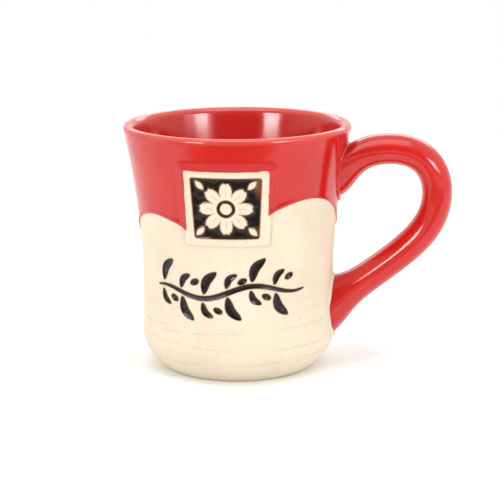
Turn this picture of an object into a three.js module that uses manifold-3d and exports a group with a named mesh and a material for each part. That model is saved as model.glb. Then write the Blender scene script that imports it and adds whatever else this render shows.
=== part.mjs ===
// A dipped and glazed stoneware mug, in millimetres. +Z is up, the vessel's axis is the Z axis and
// the foot stands on z = 0. The handle points along +X and the medallion faces -Y.
import * as THREE from 'three';
import { NURBSCurve } from 'three/addons/curves/NURBSCurve.js';
import { mergeVertices } from 'three/addons/utils/BufferGeometryUtils.js';
import Module from 'manifold-3d';

// Vessel
const mugHeight = 100;
const rimRadius = 46.8;
const waistRadius = 39;
const waistHeight = 36;
const hipRadius = 39.5;
const heelHeight = 13;
const footRadius = 31.2;
const heelPower = 1.8;
const wallThickness = 3.7;
const floorThickness = 6;
const insideCornerRadius = 9;
const footRingWidth = 5;
const footRecess = 0.8;

// Glaze and the gaps that neighbouring pieces keep
const clearance = 0.2;
const glazeThickness = 0.4;

// Hem of the dipped glaze: bare arches, each with its middle, in degrees from the front towards the
// handle, and the depth of its top below the rim
const bareArches = [
  { middle: -46, belowRim: 33 },
  { middle: 47, belowRim: 26 },
  { middle: 138, belowRim: 30 },
  { middle: 226, belowRim: 31 },
];
const archFall = 52;
const linerEdgeAngle = 14;

// Handle
const upperJointBelowRim = 18.5;
const lowerJointHeight = 25;
const handleReach = 39;
const handleThickness = 11.3;
const handleWidth = 15;
const upperFlare = { inner: 6.4, outer: -2.6, side: 2.4 };
const lowerFlare = { inner: 7.4, outer: 2.6, side: 2 };
const flareLimit = 1.6;
const flareMiddle = 2;
const flareLength = 3.2;
const slipBeadWidth = 1.3;
const slipBeadHeight = 1.5;

// Medallion
const tileBelowRim = 11;
const tileHeight = 32;
const tileHalfAngle = 24.5;
const tileThickness = 1.8;
const tileSeatDepth = 1.1;
const tileCornerRadius = 1.5;
const sideMargin = 4.2;
const topMargin = 4.4;
const bottomMargin = 3.3;
const fieldDepth = 1;
const glazeLap = 2;
const rosetteMargin = 1.9;
const petalCount = 8;
const petalNotch = 0.6;
const heartRadius = 2.2;
const heartRingWidth = 1.4;
const cornerLeafLength = 4.8;
const cornerLeafWidth = 2.4;
const cornerLeafMargin = 1.2;

// Incised vine
const vineBelowTile = 6;
const vineHalfHeight = 12.5;
const vineHalfLength = 32;
const stemWave = 2.2;
const stemWaveLength = 38.4;
const stemRise = 0.05;
const stemWidth = 2.1;
const leafSpacing = 9.6;
const leafCount = 6;
const leafLength = 10;
const leafWidth = 3.6;
const leafGap = 1;
const leafletLength = 6.2;
const leafletWidth = 2.6;
const berryOffset = 2.6;
const berryLength = 2.8;
const berryWidth = 2.4;
const tipWidth = 0.5;
const grooveDepth = 0.9;

// Fineness of the round surfaces
const vesselSegments = 48;
const glazeSegments = 80;
const handleSides = 14;
const handleSteps = 26;
const strokeStep = 1.9;
const fewestStrokeSteps = 6;

// Values that follow from the sizes above
const coat = clearance + glazeThickness;
const clayHeight = mugHeight - coat;
const lipRadius = wallThickness / 2;
const lipHeight = clayHeight - lipRadius;
const floorTop = footRecess + floorThickness;
const recessRadius = footRadius - footRingWidth;
const tileTop = mugHeight - tileBelowRim;
const tileBottom = tileTop - tileHeight;
const tileMiddle = (tileTop + tileBottom) / 2;
const tileFace = tileThickness - tileSeatDepth;
const groundLevel = tileFace - fieldDepth;
const fieldMiddle = tileMiddle + (bottomMargin - topMargin) / 2;
const fieldHalfHeight = (tileHeight - topMargin - bottomMargin) / 2;
const vineMiddle = tileBottom - vineBelowTile - vineHalfHeight;
const upperJointHeight = mugHeight - upperJointBelowRim;

const bareClay = { color: 0xefe0c4, roughness: 0.85, metalness: 0 };
const redGlaze = { color: 0xd22a20, roughness: 0.12, metalness: 0 };
const darkGlaze = { color: 0x2b211c, roughness: 0.1, metalness: 0 };

const wasm = await Module();
wasm.setup();

// ---------------------------------------------------------------- solids

function toSolid(geometry) {
  const bare = geometry.index ? geometry.toNonIndexed() : geometry.clone();
  bare.deleteAttribute('normal');
  bare.deleteAttribute('uv');
  const merged = mergeVertices(bare, 1e-4);
  const solid = new wasm.Manifold(
    new wasm.Mesh({
      numProp: 3,
      vertProperties: new Float32Array(merged.attributes.position.array),
      triVerts: new Uint32Array(merged.index.array),
    })
  );
  return solid;
}

function toMesh(name, solid, look) {
  const { vertProperties, triVerts } = solid.getMesh();
  const geometry = new THREE.BufferGeometry();
  geometry.setAttribute('position', new THREE.BufferAttribute(vertProperties, 3));
  geometry.setIndex(new THREE.BufferAttribute(triVerts, 1));
  geometry.computeVertexNormals();
  const mesh = new THREE.Mesh(geometry, new THREE.MeshStandardMaterial(look));
  mesh.name = name;
  return mesh;
}

// A closed skin over rings that all have the same number of points. The rings either run round to
// the first one again or end in two flat caps.
function solidFromRings(rings, runsRound) {
  const points = rings.flat();
  const size = rings[0].length;
  const faces = [];
  const last = runsRound ? rings.length : rings.length - 1;
  for (let ring = 0; ring < last; ring++) {
    const here = ring * size;
    const next = ((ring + 1) % rings.length) * size;
    for (let side = 0; side < size; side++) {
      const across = (side + 1) % size;
      faces.push(here + side, here + across, next + across);
      faces.push(here + side, next + across, next + side);
    }
  }
  if (!runsRound) {
    const end = (rings.length - 1) * size;
    for (let side = 1; side < size - 1; side++) {
      faces.push(0, side + 1, side);
      faces.push(end, end + side, end + side + 1);
    }
  }
  const geometry = new THREE.BufferGeometry().setFromPoints(points);
  geometry.setIndex(faces);
  return toSolid(geometry);
}

function lathe(profile) {
  const geometry = new THREE.LatheGeometry(profile, vesselSegments);
  geometry.rotateX(Math.PI / 2);
  return toSolid(geometry);
}

// A flat outline in x and z, run out along -Y through the front of the vessel.
function frontPrism(shape) {
  const geometry = new THREE.ExtrudeGeometry(shape, { depth: 2 * rimRadius, bevelEnabled: false });
  geometry.rotateX(Math.PI / 2);
  return toSolid(geometry);
}

// ---------------------------------------------------------------- the vessel's curves

function wallRadius(height) {
  if (height >= waistHeight) {
    const climb = (height - waistHeight) / (mugHeight - waistHeight);
    return waistRadius + (rimRadius - coat - waistRadius) * climb ** 2;
  }
  if (height >= heelHeight) {
    const drop = (waistHeight - height) / (waistHeight - heelHeight);
    return waistRadius + (hipRadius - waistRadius) * drop ** 2;
  }
  const turn = (heelHeight - Math.max(height, 0)) / heelHeight;
  return hipRadius - (hipRadius - footRadius) * turn ** heelPower;
}

function steps(from, to, count) {
  return Array.from({ length: count + 1 }, (_, step) => from + ((to - from) * step) / count);
}

function outsideCurve(grow, from, to, count) {
  return steps(from, to, count).map((height) => new THREE.Vector2(wallRadius(height) + grow, height));
}

function insideCurve(grow, count) {
  const bottom = floorTop + insideCornerRadius;
  return steps(lipHeight, bottom, count).map(
    (height) => new THREE.Vector2(wallRadius(height) - wallThickness - grow, height)
  );
}

function lipCurve(grow, fromAngle, toAngle, count) {
  const middle = wallRadius(lipHeight) - lipRadius;
  return steps(fromAngle, toAngle, count).map((angle) => {
    const turn = THREE.MathUtils.degToRad(angle);
    const reach = lipRadius + grow;
    return new THREE.Vector2(middle + reach * Math.cos(turn), lipHeight + reach * Math.sin(turn));
  });
}

function insideCorner(grow, count) {
  const wall = wallRadius(floorTop + insideCornerRadius) - wallThickness;
  const reach = insideCornerRadius - grow;
  return steps(0, 90, count).map((angle) => {
    const turn = THREE.MathUtils.degToRad(angle);
    const out = wall - insideCornerRadius + reach * Math.cos(turn);
    return new THREE.Vector2(out, floorTop + insideCornerRadius - reach * Math.sin(turn));
  });
}

function vesselProfile() {
  return [
    new THREE.Vector2(0, footRecess),
    new THREE.Vector2(recessRadius, footRecess),
    new THREE.Vector2(recessRadius + footRecess, 0),
    ...outsideCurve(0, 0, heelHeight, 4),
    ...outsideCurve(0, heelHeight, lipHeight, 8).slice(1),
    ...lipCurve(0, 0, 180, 5).slice(1, -1),
    ...insideCurve(0, 5),
    ...insideCorner(0, 3).slice(1),
    new THREE.Vector2(0, floorTop),
  ];
}

// The vessel's outer shape, filled in, used to cut what stands on the wall.
function filledVessel(grow) {
  return lathe([
    new THREE.Vector2(0, -grow),
    new THREE.Vector2(footRadius + grow, -grow),
    ...outsideCurve(grow, 0, heelHeight, 4).slice(1),
    ...outsideCurve(grow, heelHeight, mugHeight, 8).slice(1),
    new THREE.Vector2(0, mugHeight),
  ]);
}

// A full ring of wall between two levels, measured outwards from the clay's surface.
function wallLayer(inner, outer, from, to) {
  const rings = steps(0, 360, glazeSegments).slice(0, -1).map((angle) => {
    const inside = steps(from, to, 3).map((height) => onWall(angle, height, inner));
    const outside = steps(to, from, 3).map((height) => onWall(angle, height, outer));
    return [...inside, ...outside];
  });
  return solidFromRings(rings, true);
}

// Angles run from the front, -Y, towards the handle, +X.
function onWall(angle, height, out) {
  const turn = THREE.MathUtils.degToRad(angle);
  const radius = wallRadius(height) + out;
  return new THREE.Vector3(radius * Math.sin(turn), -radius * Math.cos(turn), height);
}

// ---------------------------------------------------------------- handle

// The middle line of the handle, a spline drawn by the points that pull it. Each is a share of the reach
// out from the line that joins the wall at the two joints, and a share of the rise from the lower joint
// to the upper one.
function handleCentreline() {
  const pulls = [
    [-0.416, 0.994],
    [-0.001, 1.102],
    [0.579, 1.188],
    [0.941, 1.048],
    [1.038, 0.775],
    [0.899, 0.514],
    [0.444, 0.254],
    [-0.084, -0.032],
    [-0.42, -0.24],
  ].map(([out, up]) => {
    const wall = THREE.MathUtils.lerp(
      wallRadius(lowerJointHeight),
      wallRadius(upperJointHeight),
      THREE.MathUtils.clamp(up, 0, 1)
    );
    const height = THREE.MathUtils.lerp(lowerJointHeight, upperJointHeight, up);
    return new THREE.Vector4(wall + out * handleReach, 0, height, 1);
  });
  const knots = [0, 0, 0, ...steps(0, 1, pulls.length - 3), 1, 1, 1];
  return new NURBSCurve(3, knots, pulls);
}

// How much the section swells near the wall, by how far its middle stands off it: nothing far out,
// about 1 on the wall, and growing smoothly to its limit inside the wall.
function nearWall(point) {
  const standOff = point.x - wallRadius(point.z);
  return flareLimit / (1 + Math.exp((standOff - flareMiddle) / flareLength));
}

// The handle's oval section swept along its centreline. Its ends flare, most of all on the inner side
// of the loop, and run into the wall.
function handleSweep(grow) {
  const curve = handleCentreline();
  const sideways = new THREE.Vector3(0, 1, 0);
  const rings = steps(0, 1, handleSteps).map((share) => {
    const point = curve.getPointAt(share);
    const outward = new THREE.Vector3().crossVectors(curve.getTangentAt(share), sideways);
    const near = nearWall(point);
    const flare = share < 0.5 ? upperFlare : lowerFlare;
    const halfWidth = handleWidth / 2 + near * flare.side + grow;
    return steps(0, 360, handleSides).slice(0, -1).map((angle) => {
      const turn = THREE.MathUtils.degToRad(angle);
      const swell = near * (Math.cos(turn) > 0 ? flare.outer : flare.inner);
      return point.clone()
        .addScaledVector(outward, (handleThickness / 2 + swell + grow) * Math.cos(turn))
        .addScaledVector(sideways, -halfWidth * Math.sin(turn));
    });
  });
  return solidFromRings(rings, false);
}

function heightBand(from, to) {
  const size = 4 * rimRadius;
  const geometry = new THREE.BoxGeometry(size, size, to - from);
  geometry.translate(0, 0, (from + to) / 2);
  return toSolid(geometry);
}

// The bead of slip pressed round the handle where it meets the wall.
function slipBead(from, to) {
  return handleSweep(slipBeadWidth + clearance)
    .intersect(filledVessel(slipBeadHeight + clearance))
    .intersect(heightBand(from, to))
    .subtract(filledVessel(clearance))
    .subtract(handleSweep(clearance));
}

// ---------------------------------------------------------------- medallion

// A four-sided outline that widens with the wall above it, inset from the tile's own edges.
function tileShape(sideInset, topInset, bottomInset, cornerRadius) {
  const top = tileTop - topInset;
  const bottom = tileBottom + bottomInset;
  const slope = Math.sin(THREE.MathUtils.degToRad(tileHalfAngle));
  const halfTop = wallRadius(top) * slope - sideInset;
  const halfBottom = wallRadius(bottom) * slope - sideInset;
  const shape = new THREE.Shape();
  const arc = (x, z, start) => {
    const from = THREE.MathUtils.degToRad(start);
    shape.absarc(x, z, cornerRadius, from, from + Math.PI / 2, false);
  };
  arc(halfTop - cornerRadius, top - cornerRadius, 0);
  arc(cornerRadius - halfTop, top - cornerRadius, 90);
  arc(cornerRadius - halfBottom, bottom + cornerRadius, 180);
  arc(halfBottom - cornerRadius, bottom + cornerRadius, 270);
  return outlineShape(shape.getPoints(3));
}

function outlineShape(points) {
  return new THREE.Shape(points.filter((point, at) => at === 0 || point.distanceTo(points[at - 1]) > 1e-3));
}

function fieldHalfWidth() {
  return wallRadius(fieldMiddle) * Math.sin(THREE.MathUtils.degToRad(tileHalfAngle)) - sideMargin;
}

// Petals with a notched tip round the middle of the field.
function rosetteShape(grow) {
  const pointsPerPetal = 8;
  const rosetteRadius = Math.min(fieldHalfHeight, fieldHalfWidth()) - rosetteMargin;
  const points = steps(0, petalCount, petalCount * pointsPerPetal).slice(0, -1).map((petal) => {
    const swing = Math.abs(Math.sin(Math.PI * petal));
    const notch = petalNotch * (Math.abs((petal % 1) - 0.5) < 0.01 ? 1 : 0);
    const reach = rosetteRadius * (0.52 + 0.48 * swing ** 0.6) - notch + grow;
    const turn = (2 * Math.PI * (petal - 0.5)) / petalCount + Math.PI / 2;
    return new THREE.Vector2(reach * Math.cos(turn), fieldMiddle + reach * Math.sin(turn));
  });
  return new THREE.Shape(points);
}

function discShape(radius) {
  const shape = new THREE.Shape();
  shape.absarc(0, fieldMiddle, radius, 0, 2 * Math.PI, false);
  return outlineShape(shape.getPoints(10).slice(0, -1));
}

// A pointed leaf in one corner of the field, pointing into the corner.
function cornerLeafShape(side, up, grow) {
  const half = cornerLeafLength / 2 + grow;
  const wide = cornerLeafWidth / 2 + grow;
  const inset = cornerLeafMargin + (cornerLeafLength / 2) * Math.SQRT1_2;
  const along = new THREE.Vector2(side, up).normalize();
  const across = new THREE.Vector2(-along.y, along.x);
  const middle = new THREE.Vector2(
    side * (fieldHalfWidth() - inset),
    fieldMiddle + up * (fieldHalfHeight - inset)
  );
  const points = steps(-1, 1, 6).map((share) =>
    middle.clone().addScaledVector(along, share * half).addScaledVector(across, wide * (1 - share ** 2))
  );
  const back = steps(1, -1, 6).slice(1, -1).map((share) =>
    middle.clone().addScaledVector(along, share * half).addScaledVector(across, wide * (share ** 2 - 1))
  );
  return new THREE.Shape([...points, ...back]);
}

// Everything that stands up from the field: the rosette and the corner leaves.
function motif(grow) {
  let raised = frontPrism(rosetteShape(grow));
  for (const side of [-1, 1]) {
    for (const up of [-1, 1]) {
      raised = raised.add(frontPrism(cornerLeafShape(side, up, grow)));
    }
  }
  return raised;
}

function field(inset) {
  return frontPrism(tileShape(sideMargin + inset, topMargin + inset, bottomMargin + inset, 1));
}

function tileBlock(grow) {
  return frontPrism(tileShape(-grow, -grow, -grow, tileCornerRadius));
}

function tileLayer(inner, outer) {
  return wallLayer(inner, outer, tileBottom - 3, tileTop + 3);
}

function heartRing(grow) {
  return frontPrism(discShape(heartRadius + heartRingWidth + grow))
    .subtract(frontPrism(discShape(heartRadius - grow)));
}

// ---------------------------------------------------------------- vine

function stemHeight(along) {
  return stemWave * Math.sin((2 * Math.PI * along) / stemWaveLength) + stemRise * along;
}

// A pointed leaf that leans the way the vine grows.
function leafStroke(root, up) {
  const start = stemHeight(root) + up * (leafGap + stemWidth / 2);
  return {
    path: [
      [root, start],
      [root + 0.12 * leafLength, start + 0.5 * up * leafLength],
      [root + 0.5 * leafLength, start + 0.86 * up * leafLength],
    ],
    width: leafWidth,
  };
}

// A smaller leaf opposite the large one.
function leafletStroke(root, up) {
  const start = stemHeight(root) + up * (leafGap + stemWidth / 2);
  return {
    path: [
      [root - 0.5, start],
      [root + 0.1 * leafletLength, start + 0.55 * up * leafletLength],
      [root + 0.55 * leafletLength, start + 0.85 * up * leafletLength],
    ],
    width: leafletWidth,
  };
}

// A short fat dab in the space before the next leaf.
function berryStroke(root, up) {
  const start = stemHeight(root) + up * (leafGap + stemWidth / 2 + berryOffset);
  const middle = root + 0.6 * leafSpacing;
  return {
    path: [
      [middle - berryLength / 2, start - (up * berryLength) / 4],
      [middle, start],
      [middle + berryLength / 2, start + (up * berryLength) / 4],
    ],
    width: berryWidth,
  };
}

// The strokes of the vine. Each has a path, in millimetres along and up the wall, and a greatest
// width.
function vineStrokes() {
  const strokes = {
    vine_stem: {
      path: steps(-vineHalfLength, vineHalfLength, 16).map((along) => [along, stemHeight(along)]),
      width: stemWidth,
    },
  };
  for (let leaf = 0; leaf < leafCount; leaf++) {
    const root = (leaf - leafCount / 2) * leafSpacing;
    const up = leaf % 2 ? -1 : 1;
    strokes[`vine_leaf_${leaf + 1}`] = leafStroke(root, up);
    strokes[`vine_leaflet_${leaf + 1}`] = leafletStroke(root, -up);
    strokes[`vine_berry_${leaf + 1}`] = berryStroke(root, -up);
  }
  return strokes;
}

function strokeWidth(share, width) {
  return tipWidth + (width - tipWidth) * Math.sin(Math.PI * share) ** 0.7;
}

// A ribbon of clay or glaze that follows the wall's curve, between two depths under its surface.
function ribbon(stroke, grow, bottom, top) {
  const curve = new THREE.CatmullRomCurve3(stroke.path.map(([along, up]) => new THREE.Vector3(along, up, 0)));
  const length = curve.getLength();
  const count = Math.max(fewestStrokeSteps, Math.round(length / strokeStep));
  const rings = steps(-grow / length, 1 + grow / length, count).map((share) => {
    const at = THREE.MathUtils.clamp(share, 0, 1);
    const tangent = curve.getTangentAt(at);
    const point = curve.getPointAt(at).addScaledVector(tangent, (share - at) * length);
    const half = strokeWidth(at, stroke.width) / 2 + grow;
    const corner = (side, depth) => {
      const along = point.x - side * half * tangent.y;
      const height = vineMiddle + point.y + side * half * tangent.x;
      const angle = THREE.MathUtils.radToDeg(along / waistRadius);
      return onWall(angle, height, depth);
    };
    return [corner(1, top), corner(-1, top), corner(-1, bottom), corner(1, bottom)];
  });
  return solidFromRings(rings, false);
}

// ---------------------------------------------------------------- pieces

function vesselBody() {
  let clay = lathe(vesselProfile());
  clay = clay.subtract(tileBlock(clearance).intersect(tileLayer(-tileSeatDepth - clearance, 3)));
  for (const stroke of Object.values(vineStrokes())) {
    clay = clay.subtract(ribbon(stroke, clearance, -grooveDepth, 1));
  }
  return clay;
}

function handle() {
  return handleSweep(0).subtract(filledVessel(clearance));
}

function medallionTile() {
  const sunk = field(0).subtract(motif(0)).add(heartRing(0));
  return tileBlock(0)
    .intersect(tileLayer(-tileSeatDepth, tileFace))
    .subtract(sunk.intersect(tileLayer(groundLevel, 3)));
}

function medallionGlaze() {
  return field(clearance)
    .subtract(motif(clearance))
    .intersect(tileLayer(groundLevel + clearance, tileFace - clearance / 2));
}

function heartGlaze() {
  return heartRing(-clearance).intersect(tileLayer(groundLevel + clearance, tileFace - clearance / 2));
}

function hemHeight(angle) {
  const tops = bareArches.map(({ middle, belowRim }) => {
    const away = THREE.MathUtils.degToRad(angle - middle);
    return mugHeight - belowRim - archFall * (1 - Math.cos(away));
  });
  return Math.max(...tops);
}

// The glaze that the vessel was dipped in: it runs from the hem to the shoulder of the lip, climbs
// over the margin of the medallion and leaves the medallion's face bare.
function outerGlaze() {
  const rings = steps(0, 360, glazeSegments).slice(0, -1).map((angle) => {
    const hem = hemHeight(angle);
    const inside = steps(hem, lipHeight, 5).map((height) => onWall(angle, height, clearance));
    const outside = steps(lipHeight, hem, 5).map((height) => onWall(angle, height, coat));
    return [...inside, ...outside];
  });
  const overTile = tileBlock(coat)
    .intersect(tileLayer(clearance, tileFace + coat))
    .intersect(heightBand(hemHeight(tileHalfAngle), mugHeight));
  const window = frontPrism(tileShape(glazeLap, glazeLap, -mugHeight / 3, 1));
  return solidFromRings(rings, true)
    .add(overTile)
    .subtract(tileBlock(clearance).intersect(tileLayer(-1, tileFace + clearance)))
    .subtract(window)
    .subtract(handleSweep(slipBeadWidth + 2 * clearance));
}

function linerGlaze() {
  return lathe([
    new THREE.Vector2(0, floorTop + clearance),
    ...insideCorner(clearance, 3).reverse(),
    ...insideCurve(clearance, 5).reverse().slice(1, -1),
    ...lipCurve(clearance, 180, linerEdgeAngle, 5),
    ...lipCurve(coat, linerEdgeAngle, 180, 5),
    ...insideCurve(coat, 5).slice(1),
    ...insideCorner(coat, 3).slice(1),
    new THREE.Vector2(0, floorTop + coat),
  ]);
}

function handleGlaze() {
  return handleSweep(coat)
    .subtract(handleSweep(clearance))
    .subtract(filledVessel(slipBeadHeight + 2 * clearance));
}

const mug = new THREE.Group();
const middle = (upperJointHeight + lowerJointHeight) / 2;
mug.add(toMesh('vessel_body', vesselBody(), bareClay));
mug.add(toMesh('handle', handle(), bareClay));
mug.add(toMesh('upper_slip_joint', slipBead(middle, mugHeight), bareClay));
mug.add(toMesh('lower_slip_joint', slipBead(0, middle), bareClay));
mug.add(toMesh('medallion_tile', medallionTile(), bareClay));
mug.add(toMesh('medallion_glaze', medallionGlaze(), darkGlaze));
mug.add(toMesh('medallion_heart_glaze', heartGlaze(), darkGlaze));
mug.add(toMesh('outer_glaze', outerGlaze(), redGlaze));
mug.add(toMesh('liner_glaze', linerGlaze(), redGlaze));
mug.add(toMesh('handle_glaze', handleGlaze(), redGlaze));
for (const [name, stroke] of Object.entries(vineStrokes())) {
  mug.add(toMesh(name, ribbon(stroke, 0, clearance - grooveDepth, clearance / 2), darkGlaze));
}

export default mug;
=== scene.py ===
import math

import bpy
import numpy as np
from mathutils import Matrix, Vector


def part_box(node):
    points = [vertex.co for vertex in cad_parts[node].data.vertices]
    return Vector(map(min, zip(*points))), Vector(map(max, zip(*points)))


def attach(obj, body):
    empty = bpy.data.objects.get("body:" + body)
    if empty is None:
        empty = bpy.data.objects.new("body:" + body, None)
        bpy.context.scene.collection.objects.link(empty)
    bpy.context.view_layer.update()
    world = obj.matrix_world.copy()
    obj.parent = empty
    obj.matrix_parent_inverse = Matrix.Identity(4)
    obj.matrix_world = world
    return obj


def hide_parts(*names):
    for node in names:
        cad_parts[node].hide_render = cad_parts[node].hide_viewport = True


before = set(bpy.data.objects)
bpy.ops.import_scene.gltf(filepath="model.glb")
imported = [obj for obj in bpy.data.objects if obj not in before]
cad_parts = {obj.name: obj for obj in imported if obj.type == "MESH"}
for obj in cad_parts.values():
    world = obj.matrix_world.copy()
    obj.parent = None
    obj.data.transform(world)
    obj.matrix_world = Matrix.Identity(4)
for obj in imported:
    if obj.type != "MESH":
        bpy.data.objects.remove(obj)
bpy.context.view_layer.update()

# Lengths below are in millimetres, in the frame's axes: +Z up the vessel's axis, -Y the front and
# +X towards the handle. mesh_piece turns them into metres.
MM = 0.001


def node_box(name):
    low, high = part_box(name)
    return np.array(low) / MM, np.array(high) / MM


# ---------------------------------------------------------------- sizes, those of the CAD model

tile_low, tile_high = node_box("medallion_tile")

MUG_HEIGHT = round(node_box("liner_glaze")[1][2])
RIM_RADIUS = 46.2
WAIST_RADIUS = 39.0
WAIST_HEIGHT = 36.0
HIP_RADIUS = 39.5
HEEL_HEIGHT = 13.0
FOOT_RADIUS = 31.2
HEEL_POWER = 1.8
WALL = 3.7
FOOT_RECESS = 0.8
FLOOR_TOP = 6.8
CORNER_RADIUS = 9.0
FOOT_RING_WIDTH = 5.0

TILE_TOP = tile_high[2]
TILE_BOTTOM = tile_low[2]
TILE_HALF_ANGLE = 24.5
TILE_FACE = 0.7
TILE_SEAT = 1.1
TILE_CORNER = 1.5
SIDE_MARGIN = 4.2
TOP_MARGIN = 4.4
BOTTOM_MARGIN = 3.3
FIELD_DEPTH = 1.0
ROSETTE_MARGIN = 1.9
PETALS = 8
HEART_RADIUS = 2.2
HEART_RING = 1.4
CORNER_LEAF_LENGTH = 4.8
CORNER_LEAF_WIDTH = 2.4
CORNER_LEAF_MARGIN = 1.2
GLAZE_LAP = 2.0
# A second cut of the knife in the edge of the bare window, above and right of this place
NICK_HEIGHT = 77.6
NICK_SIDE = 12.0
NICK_DEPTH = 0.3

GLAZE = 0.42
GLAZE_SINK = 0.12
EDGE_ROUND = 0.75
HEM_BEAD = 0.16
# The hem's arches: the angle of each one's top from the front, in degrees, and how far it is below the rim
ARCHES = [(-46, 33), (47, 26), (138, 30), (226, 31)]
ARCH_FALL = 52.0

HANDLE_REACH = 39.0
HANDLE_THICKNESS = 11.3
HANDLE_WIDTH = 15.0
UPPER_JOINT = MUG_HEIGHT - 18.5
LOWER_JOINT = 25.0
# How much each end swells at the wall on the inner and outer side of the loop, and sideways
UPPER_FLARE = (6.4, -2.6, 2.4)
LOWER_FLARE = (7.4, 2.6, 2.0)
FLARE_LIMIT = 1.6
FLARE_MIDDLE = 2.0
FLARE_LENGTH = 3.2
HANDLE_PULLS = [
    (-0.416, 0.994), (-0.001, 1.102), (0.579, 1.188), (0.941, 1.048), (1.038, 0.775),
    (0.899, 0.514), (0.444, 0.254), (-0.084, -0.032), (-0.42, -0.24),
]

VINE_MIDDLE = TILE_BOTTOM - 6.0 - 12.5
VINE_HALF_LENGTH = 32.0
STEM_WAVE = 2.2
STEM_WAVE_LENGTH = 38.4
STEM_RISE = 0.05
STEM_WIDTH = 2.1
LEAF_SPACING = 9.6
LEAVES = 6
LEAF_LENGTH = 10.0
LEAF_WIDTH = 3.6
LEAF_GAP = 1.0
LEAFLET_LENGTH = 6.2
LEAFLET_WIDTH = 2.6
BERRY_OFFSET = 2.6
BERRY_LENGTH = 2.8
BERRY_WIDTH = 2.4
TIP_WIDTH = 0.5
GROOVE_DEPTH = 0.9

# How fine the meshes are
TILE_STEP = 0.2
STROKE_STEP = 0.17
HANDLE_SAMPLES = 900
HANDLE_ROWS = 230
GLAZE_SIDES = 64
BEAD_SIDES = 96


# ---------------------------------------------------------------- mesh helpers

def mesh_piece(name, points, faces, nodes=(), attributes=None):
    """A smooth-shaded mesh from points in millimetres. It stands for the CAD nodes named."""
    mesh = bpy.data.meshes.new(name)
    mesh.from_pydata((np.asarray(points) * MM).tolist(), [], [list(map(int, face)) for face in faces])
    mesh.update()
    mesh.polygons.foreach_set("use_smooth", np.ones(len(mesh.polygons), dtype=bool))
    for key, values in (attributes or {}).items():
        layer = mesh.attributes.new(key, "FLOAT", "POINT")
        layer.data.foreach_set("value", np.asarray(values, dtype=np.float32))
    piece = bpy.data.objects.new(name, mesh)
    bpy.context.scene.collection.objects.link(piece)
    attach(piece, "root")
    if nodes:
        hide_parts(*nodes)
    return piece


def grid_faces(rows, columns, wraps_rows=False, wraps_columns=False):
    """Quads of a rows x columns grid of points, numbered row by row."""
    row = np.arange(rows if wraps_rows else rows - 1)
    column = np.arange(columns if wraps_columns else columns - 1)
    r, c = np.meshgrid(row, column, indexing="ij")
    r_next, c_next = (r + 1) % rows, (c + 1) % columns
    quads = np.stack(
        [r * columns + c, r * columns + c_next, r_next * columns + c_next, r_next * columns + c], axis=-1
    )
    return quads.reshape(-1, 4)


def clipped_sheet(us, vs, inside, wraps=False):
    """The part of the grid us x vs where inside(u, v) > 0, cut cleanly along its edge.

    Returns the points as rows of (u, v) and the faces. With wraps, the last column of us joins the
    first one a full turn on."""
    u_grid, v_grid = np.meshgrid(us, vs, indexing="ij")
    value = inside(u_grid, v_grid)
    columns, rows = value.shape
    number = -np.ones(value.shape, dtype=int)
    kept = value > 0
    number[kept] = np.arange(kept.sum())
    points = list(zip(u_grid[kept], v_grid[kept]))
    turn = 360.0
    last = columns if wraps else columns - 1
    here = np.arange(last)
    there = (here + 1) % columns
    corner = [
        (here[:, None], np.arange(rows - 1)[None]),
        (there[:, None], np.arange(rows - 1)[None]),
        (there[:, None], np.arange(1, rows)[None]),
        (here[:, None], np.arange(1, rows)[None]),
    ]
    signs = np.stack([kept[i, j] for i, j in corner], axis=-1)
    whole = signs.all(axis=-1)
    numbers = np.stack([number[i, j] for i, j in corner], axis=-1)
    faces = [list(face) for face in numbers[whole]]
    crossings = {}

    def crossing(a, b):
        key = (min(a, b), max(a, b))
        if key not in crossings:
            (ua, va), (ub, vb) = (u_grid[a], v_grid[a]), (u_grid[b], v_grid[b])
            if wraps and abs(ub - ua) > turn / 2:
                ub += turn if ub < ua else -turn
            share = value[a] / (value[a] - value[b])
            crossings[key] = len(points)
            points.append((ua + share * (ub - ua), va + share * (vb - va)))
        return crossings[key]

    for i, j in np.argwhere(signs.any(axis=-1) & ~whole):
        i, j, i_next = int(i), int(j), int(there[i])
        ring = [(i, j), (i_next, j), (i_next, j + 1), (i, j + 1)]
        face = []
        for at in range(4):
            a, b = ring[at], ring[(at + 1) % 4]
            if kept[a]:
                face.append(int(number[a]))
            if kept[a] != kept[b]:
                face.append(crossing(a, b))
        if len(face) > 2:
            faces.append(face)
    return np.array(points), faces


def closed_sheet(top, bottom, faces):
    """Joins a top and a bottom copy of the same faces with a wall round every open edge."""
    count = len(top)
    used = {}
    for face in faces:
        for at, a in enumerate(face):
            b = face[(at + 1) % len(face)]
            used[(a, b)] = used.get((a, b), 0) + 1
    walls = [[b, a, a + count, b + count] for a, b in used if (b, a) not in used]
    under = [[point + count for point in reversed(face)] for face in faces]
    return np.concatenate([top, bottom]), [*faces, *under, *walls]


def catmull_rom(points, samples):
    """A centripetal Catmull-Rom curve through the points, evenly spaced along its length."""
    points = np.asarray(points, dtype=float)
    padded = np.vstack([2 * points[0] - points[1], points, 2 * points[-1] - points[-2]])
    fine = []
    for p0, p1, p2, p3 in zip(padded, padded[1:], padded[2:], padded[3:]):
        d0, d1, d2 = (np.linalg.norm(b - a) ** 0.5 for a, b in ((p0, p1), (p1, p2), (p2, p3)))
        t1 = ((p1 - p0) / d0 - (p2 - p0) / (d0 + d1) + (p2 - p1) / d1) * d1
        t2 = ((p2 - p1) / d1 - (p3 - p1) / (d1 + d2) + (p3 - p2) / d2) * d1
        s = np.linspace(0, 1, 60, endpoint=False)[:, None]
        square = -3 * p1 + 3 * p2 - 2 * t1 - t2
        cube = 2 * p1 - 2 * p2 + t1 + t2
        fine.append(p1 + t1 * s + square * s**2 + cube * s**3)
    return evenly(np.vstack([*fine, points[-1]]), samples)


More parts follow.
